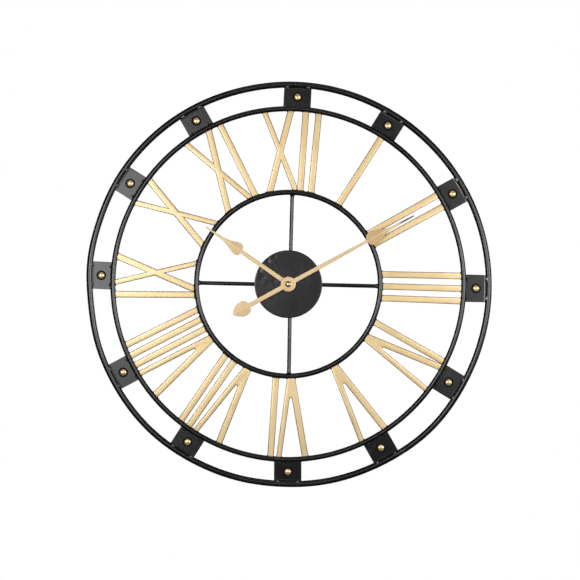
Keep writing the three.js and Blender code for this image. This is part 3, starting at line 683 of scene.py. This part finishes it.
def marker_plate(hour):
    """A plate with its lip and weld beads, and its washer and rivet."""
    node = f"marker_plate_{hour:02d}"
    co = [v.co for v in frame["nodes"][node].data.vertices]
    rivet_front = min(c.y for c in co)
    dome = [c for c in co if c.y < rivet_front + 0.1 * MM]
    centre = sum(dome, Vector()) / len(dome)
    clock = clock_of(centre.x, centre.z)
    out = Vector(polar(clock, 1.0))
    across = Vector((out.y, -out.x))
    half = max(abs(c.xz.dot(across)) for c in co)

    def at(side, radius):
        """A point of the plate: sideways from its middle line, on a circle about the axis."""
        up = math.sqrt(radius**2 - side**2)
        return tuple(across * side + out * up)

    inner = NUMERAL_RADIUS + NUMERAL_TUBE - 0.5 * MM
    steps = 8
    sides = [-half + 2 * half * k / steps for k in range(steps + 1)]
    outline = [at(s, inner) for s in sides]
    for s in reversed(sides):
        turn = math.degrees(math.asin(s / NUMERAL_RADIUS))
        outline.append(at(s, outer_inside(clock + turn) + 0.6 * MM))
    bm = bmesh.new()
    worn = bm.verts.layers.float.new("worn")
    slab(bm, outline, STRIP_FRONT, STRIP_BACK, PLATE_RIM, PLATE_RIM)
    lip_highlight, bead_highlight = LIP_AND_BEAD_HIGHLIGHT.get(hour, FAINT_LIP_AND_BEAD_HIGHLIGHT)
    lip = [Vector(p) for p in outline[len(sides):]]
    loops = []
    for k, p in enumerate(lip):
        run = (lip[min(k + 1, len(lip) - 1)] - lip[max(k - 1, 0)]).normalized()
        inward = Vector((-run.y, run.x))
        loop = []
        for t in round_angles(10):
            q = p + inward * (LIP_INSET + LIP_RADIUS * math.cos(t))
            loop.append((q.x, STRIP_FRONT - LIP_PROUD * math.sin(t), q.y))
        loops.append(loop)
    # Painted highlight: the lip's rows take the layer that lightens them to grey, most on the
    # plates at two and three.
    for row in skin(bm, loops):
        lip_shine = lip_highlight * (1 + 0.6 * noise.noise(row[0].co * 90 + Vector((hour, 0, 0))))
        for v in row:
            v[worn] = min(1.0, max(0.0, lip_shine))
    seed = hour * 7
    for sign in (-1, 1):
        turn = sign * rng.uniform(2.7, 3.1)
        x, z = polar(clock + turn, outer_inside(clock + turn) + 1.5 * MM)
        size = (1.9 * MM, 1.5 * MM, rng.uniform(2.2, 3.4) * MM)
        front, back = STRIP_FRONT - 1.9 * MM, STRIP_BACK + 1.9 * MM
        blob(bm, (x, front, z), size, clock + turn, seed + sign, 0.3, worn=bead_highlight)
        blob(bm, (x, back, z), size, clock + turn, seed + 2 * sign)
        side = sign * rng.uniform(13.0, 14.6) * MM
        x, z = at(side, inner + 1.0 * MM)
        size = (1.6 * MM, 1.2 * MM, rng.uniform(1.6, 2.4) * MM)
        blob(bm, (x, STRIP_FRONT - 0.2 * MM, z), size, clock, seed + 3 * sign)
        blob(bm, (x, STRIP_BACK + 0.2 * MM, z), size, clock, seed + 4 * sign)
    make_piece(bm, f"plate_{hour:02d}", "black_coat", replaces=(node,), look="black_sheet")
    washer_and_rivet(hour, centre)


def washer_and_rivet(hour, centre):

    face, middle, segments = STRIP_FRONT, (centre.x, centre.z), 40
    bm = bmesh.new()
    r = WASHER_RADIUS
    profile = [
        (r - 0.1 * MM, face + 0.1 * MM), (r, face - 0.15 * MM), (r - 0.15 * MM, face - 0.48 * MM),
        (r - 0.5 * MM, face - 0.6 * MM), (5.9 * MM, face - 0.55 * MM),
        (5.4 * MM, face - 0.3 * MM), (4.2 * MM, face - 0.3 * MM),
    ]
    lathe(bm, profile, middle, segments)
    # Painted shade: the washer's near black finish stands in for the shade round the rivet.
    make_piece(bm, f"washer_{hour:02d}", "black_coat", look="washer_painted_shade")

    bm = bmesh.new()
    base = face - 0.25 * MM
    skirt = 0.3 * MM
    dome = RIVET_HEIGHT - 0.25 * MM - skirt
    profile = [(RIVET_RADIUS - 0.35 * MM, base)]
    for k in range(13):
        t = math.pi / 2 * k / 12
        r = max(AXIS_GAP, RIVET_RADIUS * math.cos(t) ** 0.9 * 0.985)
        profile.append((r, base - skirt - dome * math.sin(t)))
    lathe(bm, profile, middle, segments)
    make_piece(bm, f"rivet_{hour:02d}", "brass")


for hour in range(1, 13):
    marker_plate(hour)

# ---------- numerals ----------

# A stroke's points beyond these radii are its ends, which run on into the rings.
FOOT_REACH = HUB_RADIUS + HUB_TUBE + 1.2 * MM
HEAD_REACH = NUMERAL_RADIUS - NUMERAL_TUBE - 1.2 * MM
INTO_RING = 2.4 * MM
SAME_END = 11 * MM  # end points nearer than this share one weld


def run_into_ring(point):
    """An end point of a stroke, moved along its radius into the ring. Others stay."""
    reach = Vector(point).length
    if reach > HEAD_REACH:
        return tuple(Vector(point) * ((HEAD_REACH + INTO_RING) / reach))
    if reach < FOOT_REACH:
        return tuple(Vector(point) * ((FOOT_REACH - INTO_RING) / reach))
    return point


STROKE_RIM = rim_profile(0.55 * MM, 3, crown=0.38 * MM, reach=3.3 * MM)
STROKE_BACK = rim_profile(0.45 * MM, 2, crown=0.1 * MM, reach=2.4 * MM, crown_steps=1)
welds = bmesh.new()
strokes = sorted(n for n in frame["nodes"] if n.startswith("stroke_"))
for index, node in enumerate(strokes):
    outline = front_outline(node)
    bm = bmesh.new()
    for part in split_at_notch(outline):
        part = [run_into_ring(p) for p in part]
        slab(bm, part, STRIP_FRONT, STRIP_BACK, STROKE_RIM, STROKE_BACK)
    middle = sum((Vector(p) for p in outline), Vector((0, 0))) / len(outline)
    clock = clock_of(middle.x, middle.y)
    ux, uz = polar(clock, 1.0)
    along = bm.verts.layers.float_vector.new("along")
    for v in bm.verts:
        v[along] = (v.co.x * uz - v.co.z * ux, index * 3.7, v.co.x * ux + v.co.z * uz)
    make_piece(bm, node.replace("stroke_", "numeral_"), "gold_paint", replaces=(node,))

    # Weld lumps where the stroke meets the two rings: along the foot and at the head's corners.
    for reach, sign in ((FOOT_REACH, 1), (HEAD_REACH, -1)):
        ends = [Vector(p) for p in outline if sign * (reach - Vector(p).length) > 0]
        ends.sort(key=lambda p: (clock_of(p.x, p.y) - clock + 180) % 360)
        groups = []
        for p in ends:
            if groups and (p - groups[-1][-1]).length < SAME_END:
                groups[-1].append(p)
            else:
                groups.append([p])
        for group in groups:
            a, b = group[0], group[-1]
            span = (b - a).length
            for share in (0.0, 0.5, 1.0) if sign > 0 else (0.0, 1.0):
                p = a.lerp(b, share)
                turn = clock_of(p.x, p.y)
                size = rng.uniform(1.0, 1.5) if sign > 0 else rng.uniform(0.7, 1.1)
                width = rng.uniform(1.0, 1.7) * MM
                if share == 0.5:
                    size, width = 0.8, span * 0.55
                p = p - Vector(polar(turn, 1.0)) * sign * (0.5 * MM)
                place = (p.x, PLANE_Y - rng.uniform(0, 0.4) * MM, p.y)
                blob(welds, place, (size * MM, 1.4 * MM, width), turn, index * 5 + share)
make_piece(welds, "numeral_welds", "black_coat")

# ---------- hands ----------


def bezier(p0, p1, p2, p3, steps=14):
    """Points on a cubic curve, without its first."""
    points = []
    for k in range(1, steps + 1):
        t = k / steps
        points.append(
            tuple(
                (1 - t) ** 3 * a + 3 * (1 - t) ** 2 * t * b + 3 * (1 - t) * t**2 * c + t**3 * d
                for a, b, c, d in zip(p0, p1, p2, p3)
            )
        )
    return points


TIP_HALF = 0.8  # half the width of a hand's tip, in millimetres


def spade(start_half, neck, neck_half, widest, widest_half, waist, waist_half, tip):
    """One edge of a spade-shaped hand: (half width, distance from the axis), in millimetres."""
    p0, p3 = (neck_half, neck), (widest_half, widest)
    p6 = (waist_half, waist)
    taper = (neck_half - start_half) / neck
    points = [(start_half + taper * r, r) for r in (8, 20, 40, 60, 80) if r < neck]
    points.append(p0)
    points += bezier(
        p0, (widest_half * 0.75, neck + 0.3), (widest_half, neck + (widest - neck) * 0.45), p3
    )
    points += bezier(
        p3,
        (widest_half, widest + (waist - widest) * 0.16),
        (waist_half * 1.7, widest + (waist - widest) * 0.5),
        p6,
    )
    for s in (0.2, 0.35, 0.5, 0.7, 0.94, 1):
        points.append((waist_half + (TIP_HALF - waist_half) * s, waist + (tip - waist) * s))
    return points


COLUMNS = (1.0, 0.985, 0.94, 0.84, 0.6, 0.3, 0.1)  # shares of the half width, edge to ridge
NO_DARK_TIP = (1000, 1001)


def rounding(radius, inward):
    """How far a rounded edge has dropped at a distance inward from it."""
    short = max(0.0, radius - inward)
    return radius - math.sqrt(max(0.0, radius**2 - short**2))


def blade(bm, edge, clock, front, back, darker_leaf, dark_tip_reach=NO_DARK_TIP):
    """Lofts a hand's arm: crowned across, with a ridge where it is wide.

    The blade layer holds the distance from the ridge in metres, the darkening of wide leaves
    and the dark brown of the tip, which grows between the two distances from the axis.
    """
    layer = bm.verts.layers.float_vector.get("blade") or bm.verts.layers.float_vector.new("blade")
    out = Vector(polar(clock, 1.0))
    across = Vector((out.y, -out.x))
    columns = [-c for c in COLUMNS] + [0.0] + list(reversed(COLUMNS))
    loops = []
    for half, reach in edge:
        loop = []
        for c in columns:
            rim = rounding(min(0.3, half * 0.4), half * (1 - abs(c)))
            drop = rim + 0.42 * min(1.0, half / 7.0) * abs(c) ** 1.25
            p = across * (half * c) + out * reach
            loop.append((p.x * MM, front + drop * MM, p.y * MM))
        for c in reversed(columns):
            p = across * (half * c) + out * reach
            rim = rounding(0.15, half * (1 - abs(c)))
            loop.append((p.x * MM, back - rim * MM, p.y * MM))
        loops.append(loop)
    rows = skin(bm, loops)
    for row, (half, reach) in zip(rows, edge):
        brown = min(1.0, max(0.0, (reach - dark_tip_reach[0]) / (dark_tip_reach[1] - dark_tip_reach[0])))
        for v, c in zip(row, columns + columns[::-1]):
            v[layer] = (abs(c) * half * MM, darker_leaf * min(1.0, max(0.0, (half - 3.5) / 2.5)), brown)


def boss(bm, front, back, bore):
    """The round eye of a hand."""
    outer = BOSS_RADIUS
    profile = [
        (bore, back), (outer - 0.3 * MM, back), (outer - 0.08 * MM, back - 0.1 * MM),
        (outer, back - 0.3 * MM), (outer, front + 0.4 * MM), (outer - 0.1 * MM, front + 0.14 * MM),
        (outer - 0.4 * MM, front), (outer - 3 * MM, front), (bore + 0.2 * MM, front),
        (bore, front + 0.2 * MM),
    ]
    loops = [
        [(math.cos(a) * r, y, math.sin(a) * r) for a in round_angles(72)] for r, y in profile
    ]
    layer = bm.verts.layers.float_vector["blade"]
    for row in skin(bm, loops, closed=True):
        for v in row:
            v[layer] = (outer, 0, 0)


BOSS_RADIUS = 11 * MM
HOUR_CLOCK, MINUTE_CLOCK = 303.2, 59.8  # ten past ten, as set in the CAD
bm = bmesh.new()
low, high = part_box("hour_hand")
blade(bm, spade(3.4, 84, 2.8, 91.5, 9.5, 117, 2.1, 148), HOUR_CLOCK, low.y, high.y, 0.35)
boss(bm, low.y, high.y, 2.8 * MM)
make_piece(bm, "hour_pointer", "gold_hand", body="hour", replaces=("hour_hand",))

bm = bmesh.new()
low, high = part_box("minute_hand")
edge = spade(3.5, 132.2, 1.95, 141.5, 10.1, 173, 1.9, 210)
blade(bm, edge, MINUTE_CLOCK, low.y, high.y, 0.9, (184, 192))
leaf = [(3.5, 8), (3.4, 30), (3.2, 50), (3.2, 65.3)]
leaf += bezier((3.2, 65.3), (8.5, 65.6), (10.9, 69.8), (10.9, 75.3))
leaf += bezier((10.9, 75.3), (10.9, 82), (6.5, 88.6), (0.8, 92.6))
blade(bm, leaf, MINUTE_CLOCK + 180, low.y, high.y, 0.12)
# Three pips raised on the leaf.
out = Vector(polar(MINUTE_CLOCK + 180, 1.0))
for reach, side in ((80.7, 1.7), (74.4, 2.2), (72.8, -2.5)):
    x, z = (out * reach + Vector((out.y, -out.x)) * side) * MM
    blob(bm, (x, low.y - 0.02 * MM, z), (0.75 * MM, 0.3 * MM, 0.6 * MM), MINUTE_CLOCK, reach)
boss(bm, low.y, high.y, 1.8 * MM)
make_piece(bm, "minute_pointer", "gold_hand", body="minute", replaces=("minute_hand",))

# The nut that holds the hands: a low turned collar with a domed, polished cap.
low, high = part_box("hand_nut")
nut_front, nut_back, nut_radius = low.y, high.y, (high.x - low.x) / 2
bm = bmesh.new()
profile = [
    (1.9 * MM, nut_back), (nut_radius - 0.2 * MM, nut_back), (nut_radius, nut_back - 0.2 * MM),
    (nut_radius, nut_back - 0.6 * MM), (nut_radius - 0.35 * MM, nut_back - 0.8 * MM),
    (3.75 * MM, nut_back - 0.85 * MM), (3.55 * MM, nut_back - 1.0 * MM),
]
for k in range(8):
    t = math.pi / 2 * k / 8
    profile.append((3.5 * MM * math.cos(t), nut_back - 1.05 * MM - 1.3 * MM * math.sin(t)))
profile.append((0.05 * MM, nut_front))
lathe(bm, profile, segments=56)
make_piece(bm, "hand_cap", "dark_metal", body="minute", replaces=("hand_nut",))

# ---------- hanger and movement ----------

# CAD nodes get their slot's look, and those that are drawn as they are get rounded edges.
for node, obj in frame["nodes"].items():
    slot = next(s["material_slot"] for s in frame["record"]["subparts"] if s["node"] == node)
    obj.data.materials.clear()
    obj.data.materials.append(MATERIALS[slot])

for node, width, segments in (
    ("hanger_bracket", 0.35, 2), ("movement_front_case", 0.4, 2), ("mounting_nut", 0.3, 2),
    ("setting_knob", 0.12, 1), ("motor_coil", 0.15, 2), ("hour_wheel", 0.04, 1),
    ("minute_wheel", 0.04, 1), ("motion_wheel", 0.04, 1), ("third_wheel", 0.04, 1),
    ("fourth_wheel", 0.04, 1),
):
    bevel(frame["nodes"][node], width * MM, segments)


# The outlines are given in millimetres and come back in metres.
def rounded_rect(x0, z0, x1, z1, r, steps=4):
    points = []
    corners = ((x1 - r, z1 - r), (x0 + r, z1 - r), (x0 + r, z0 + r), (x1 - r, z0 + r))
    for index, (cx, cz) in enumerate(corners):
        for k in range(steps + 1):
            t = math.radians(90 * index + 90 * k / steps)
            points.append(((cx + r * math.cos(t)) * MM, (cz + r * math.sin(t)) * MM))
    return points


def prism(bm, outline, y0, y1):
    """A straight-sided cutter between two depths in millimetres."""
    skin(bm, [[(x, y * MM, z) for x, z in outline] for y in (y0, y1)])


def circle(x, z, r, count=24):
    return [((x + r * math.cos(t)) * MM, (z + r * math.sin(t)) * MM) for t in round_angles(count)]


def bar(x0, z0, x1, z1, width):
    """The outline of a straight groove."""
    run = Vector((x1 - x0, z1 - z0)).normalized() * width / 2
    side = Vector((-run.y, run.x))
    a, b = Vector((x0, z0)), Vector((x1, z1))
    return [tuple(c * MM) for c in (a - side, b - side, b + side, a + side)]


def closed_mesh(bm, name):
    mesh = bpy.data.meshes.new(name)
    bmesh.ops.recalc_face_normals(bm, faces=bm.faces)
    bm.to_mesh(mesh)
    bm.free()
    return mesh


def carved(mesh, cutters):
    """A bmesh of the mesh with the closed shapes of the bmesh cutters taken out."""
    block = bpy.data.objects.new("block", mesh)
    tool = bpy.data.objects.new("tool", closed_mesh(cutters, "cutters"))
    for obj in (block, tool):
        bpy.context.scene.collection.objects.link(obj)
    cut = block.modifiers.new("cut", "BOOLEAN")
    cut.operation, cut.solver, cut.use_self, cut.object = "DIFFERENCE", "EXACT", True, tool
    bpy.context.view_layer.update()
    bm = bmesh.new()
    bm.from_object(block, bpy.context.evaluated_depsgraph_get())
    for obj in (block, tool):
        bpy.data.objects.remove(obj)
    return bm


# The rear cover: the CAD part with a sunk panel, grip grooves, screw pockets, a finger notch at
# the battery bay, and marks round the setting knob.
SCREWS = ((-23.6, 23.6), (23.6, 23.6), (-24.4, -8.4), (24.4, -8.4))
KNOB_X, KNOB_Z = (sum(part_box("setting_knob"), Vector()) / 2 / MM).xz
cuts = bmesh.new()
prism(cuts, rounded_rect(-21.5, -3, 4.5, 20.5, 1.5), -0.35, 1)
for z in (-5.2, -6.8, -8.4):
    prism(cuts, rounded_rect(-18, z - 0.35, 18, z + 0.35, 0.34), -0.5, 1)
for x, z in SCREWS:
    prism(cuts, circle(x, z, 2.3), -1.3, 1)
prism(cuts, circle(0, -11.2, 5.5, 32), -0.9, 1)
for k in range(12):
    ux, uz = polar(30 * k, 1.0)
    length = 9.4 if k % 3 == 0 else 8.8
    ends = [(KNOB_X + reach * ux, KNOB_Z + reach * uz) for reach in (7.9, length)]
    prism(cuts, bar(*ends[0], *ends[1], 0.4), -0.3, 1)
rear_case = "movement_rear_case"
cover = carved(frame["nodes"][rear_case].data.copy(), cuts)
cover = make_piece(cover, "rear_cover", "case_plastic", replaces=(rear_case,))
bevel(cover, 0.12 * MM, 1)

# Its cross-head screws, sunk in the pockets.
for index, (x, z) in enumerate(SCREWS, 1):
    head = bmesh.new()
    profile = [(2.0, -1.28), (2.0, -0.95), (1.85, -0.72), (1.4, -0.56), (0.8, -0.48), (0.02, -0.46)]
    lathe(head, [(r * MM, y * MM) for r, y in profile], (x * MM, z * MM), 32)
    shape = closed_mesh(head, "head")
    cuts = bmesh.new()
    for turn in (25 * index, 25 * index + 90):
        ux, uz = polar(turn, 1.15)
        prism(cuts, bar(x - ux, z - uz, x + ux, z + uz, 0.42), -0.95 - 0.01 * turn / 90, 1)
    make_piece(carved(shape, cuts), f"screw_{index}", "dark_metal", look="steel")


def wire_rod(bm, path, radius, sides=10):
    """A round wire along a path of points in millimetres."""
    path = [Vector(p) * MM for p in path]
    loops = []
    for k, p in enumerate(path):
        run = (path[min(k + 1, len(path) - 1)] - path[max(k - 1, 0)]).normalized()
        u = run.orthogonal().normalized() if k == 0 else (u - run * u.dot(run)).normalized()
        v = run.cross(u)
        loops.append(
            [p + (u * math.cos(t) + v * math.sin(t)) * radius * MM for t in round_angles(sides)]
        )
    skin(bm, loops)


# Battery contacts: a coned spring at the flat end, a dished plate at the nub.
low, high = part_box("battery")
cell_y, cell_z = (low.y + high.y) / 2 / MM, (low.z + high.z) / 2 / MM
WALL_X = 26.4  # the bay's end walls
COIL_TURNS, COIL_STEPS, COIL_WIRE = 3.2, 80, 0.25
bm = bmesh.new()
start_x = -WALL_X + 0.35
span_x = low.x / MM - 0.3 - start_x
path = []
for k in range(COIL_STEPS + 1):
    s = k / COIL_STEPS
    t = 2 * math.pi * COIL_TURNS * s
    r = 4.4 - 2.2 * s
    path.append((start_x + span_x * s, cell_y + r * math.cos(t), cell_z + r * math.sin(t)))
wire_rod(bm, path, COIL_WIRE)
tail = [(-WALL_X + 0.3, cell_y + y, cell_z + z) for y, z in ((4.4, 0), (4.9, 0), (5.6, 0.6))]
wire_rod(bm, tail, COIL_WIRE)
make_piece(bm, "contact_spring", "dark_metal", look="steel")
bm = bmesh.new()
plate = (
    (0.05, 26.02), (1.6, 26.02), (2.2, 26.12), (3.9, 26.12), (4.1, 26.2), (4.1, 26.34),
    (0.05, 26.34),
)
lathe(bm, [(r * MM, x * MM) for r, x in plate], (cell_y * MM, cell_z * MM), 32, axis="X")
make_piece(bm, "contact_plate", "dark_metal", look="steel")

# Weld beads where the hanger's ends meet the two rings.
low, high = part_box("hanger_bracket")
bm = bmesh.new()
for index, side in enumerate((-8.5, -2.0, 4.5, 9.5)):
    for z, shift in ((low.z, 0.9), (high.z, -0.9)):
        centre = (side * MM, low.y + 0.5 * MM, z + shift * MM)
        blob(bm, centre, (1.3 * MM, 1.1 * MM, rng.uniform(1.8, 2.8) * MM), 0, index * 2 + shift)
make_piece(bm, "hanger_welds", "black_coat")

# Battery: a turned cell with rolled shoulders, an insulating ring and a pressed nub.
low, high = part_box("battery")
cell = ((low.y + high.y) / 2, (low.z + high.z) / 2)
r = (high.y - low.y) / 2
left, right = low.x, high.x - 1.4 * MM
bm = bmesh.new()
profile = [
    (AXIS_GAP, left + 0.35 * MM), (4.6 * MM, left + 0.35 * MM), (4.9 * MM, left + 0.1 * MM),
    (5.6 * MM, left), (6.5 * MM, left + 0.05 * MM), (r - 0.15 * MM, left + 0.4 * MM),
    (r, left + 0.9 * MM), (r, left + 1.6 * MM), (r - 0.06 * MM, left + 1.8 * MM),
    (r - 0.06 * MM, right - 1.8 * MM), (r, right - 1.6 * MM), (r, right - 0.9 * MM),
    (r - 0.2 * MM, right - 0.35 * MM), (6.3 * MM, right), (5.4 * MM, right),
    (4.8 * MM, right - 0.25 * MM), (3.4 * MM, right - 0.25 * MM), (2.9 * MM, right - 0.05 * MM),
    (2.7 * MM, right + 0.3 * MM), (2.65 * MM, right + 1.1 * MM), (2.35 * MM, high.x),
    (AXIS_GAP, high.x),
]
lathe(bm, profile, cell, 48, axis="X")
make_piece(bm, "cell", "battery_shell", body="battery", replaces=("battery",))

# ---------- floor, light and camera ----------

FLOOR_Z, FLOOR_RADIUS = -1.3, 3.2
bm = bmesh.new()
bmesh.ops.create_circle(bm, cap_ends=True, segments=96, radius=FLOOR_RADIUS)
for v in bm.verts:
    v.co.z = FLOOR_Z
mesh = bpy.data.meshes.new("floor")
bm.to_mesh(mesh)
bm.free()
floor = bpy.data.objects.new("floor", mesh)
bpy.context.scene.collection.objects.link(floor)
mesh.materials.append(
    make_material(
        "floor_paint",
        lambda n, coords, shader: wire(
            n,
            shader,
            Base_Color=n.ramp(n.noise(coords, 3), (0.3, 0.78), (0.7, 0.84)),
            Roughness=0.9,
            Emission_Color=(0.9, 0.9, 0.9),
            Emission_Strength=0.6,
        ),
    )
)
floor.visible_diffuse = floor.visible_glossy = False  # it throws no light up at the clock


def softbox(name, azimuth, elevation, distance, size, radiance):
    """A soft area light aimed at the hands. Azimuth 0 is in front of the dial, 90 to its right."""
    a, e = math.radians(azimuth), math.radians(elevation)
    place = Vector((math.sin(a) * math.cos(e), -math.cos(a) * math.cos(e), math.sin(e))) * distance
    data = bpy.data.lights.new(name, "AREA")
    data.shape = "RECTANGLE"
    data.size, data.size_y = size
    data.energy = radiance * math.pi * size[0] * size[1]
    light = bpy.data.objects.new(name, data)
    light.location = place
    light.rotation_mode = "QUATERNION"
    light.rotation_quaternion = (-place).to_track_quat("-Z", "Y")
    light.visible_camera = False
    bpy.context.scene.collection.objects.link(light)


softbox("left_box", -19.2, 3, 2.6, (1.03, 0.8), 9.3)
softbox("right_box", 39.4, 4, 2.6, (2.46, 1.0), 5.5)
softbox("top_box", 0, 70, 2.4, (1.6, 0.8), 0.9)
softbox("back_left_box", 195, 4, 2.7, (1.0, 1.0), 6.0)
softbox("back_right_box", 157, 10, 2.7, (1.3, 1.0), 5.0)

scene = bpy.context.scene
world = bpy.data.worlds.new("studio")
scene.world = world
world.use_nodes = True
n = Nodes(world.node_tree)
seen = n.add("LightPath").outputs["Is Camera Ray"]
around = n.add("Background", Color=(0.95, 0.97, 1.0), Strength=0.03)
behind = n.add("Background", Color=(1, 1, 1), Strength=1.0)
both = n.add("MixShader", _0=seen, _1=around.outputs[0], _2=behind.outputs[0])
n.add("OutputWorld", Surface=both.outputs[0])
scene.view_settings.view_transform = "Standard"

# The photographed clock hangs 1.6 degrees out of true, so the camera is rolled by as much.
ROLL = math.radians(-1.6)
VIEW_WIDTH = 0.8561  # what the frame takes in at the plane of the rings
VIEW_DISTANCE = 2.2
AIM_RIGHT, AIM_DOWN = 0.00245, 0.0086  # from the axis of the hands to the middle of the frame
right = Vector((math.cos(ROLL), 0, -math.sin(ROLL)))
up = Vector((math.sin(ROLL), 0, math.cos(ROLL)))
camera_data = bpy.data.cameras.new("camera")
camera_data.sensor_width = 36
camera_data.lens = camera_data.sensor_width * VIEW_DISTANCE / VIEW_WIDTH
camera = bpy.data.objects.new("camera", camera_data)
scene.collection.objects.link(camera)
axes = Matrix((right, up, Vector((0, -1, 0)))).transposed().to_4x4()
place = right * AIM_RIGHT - up * AIM_DOWN + Vector((0, PLANE_Y - VIEW_DISTANCE, 0))
camera.matrix_world = Matrix.Translation(place) @ axes
scene.camera = camera
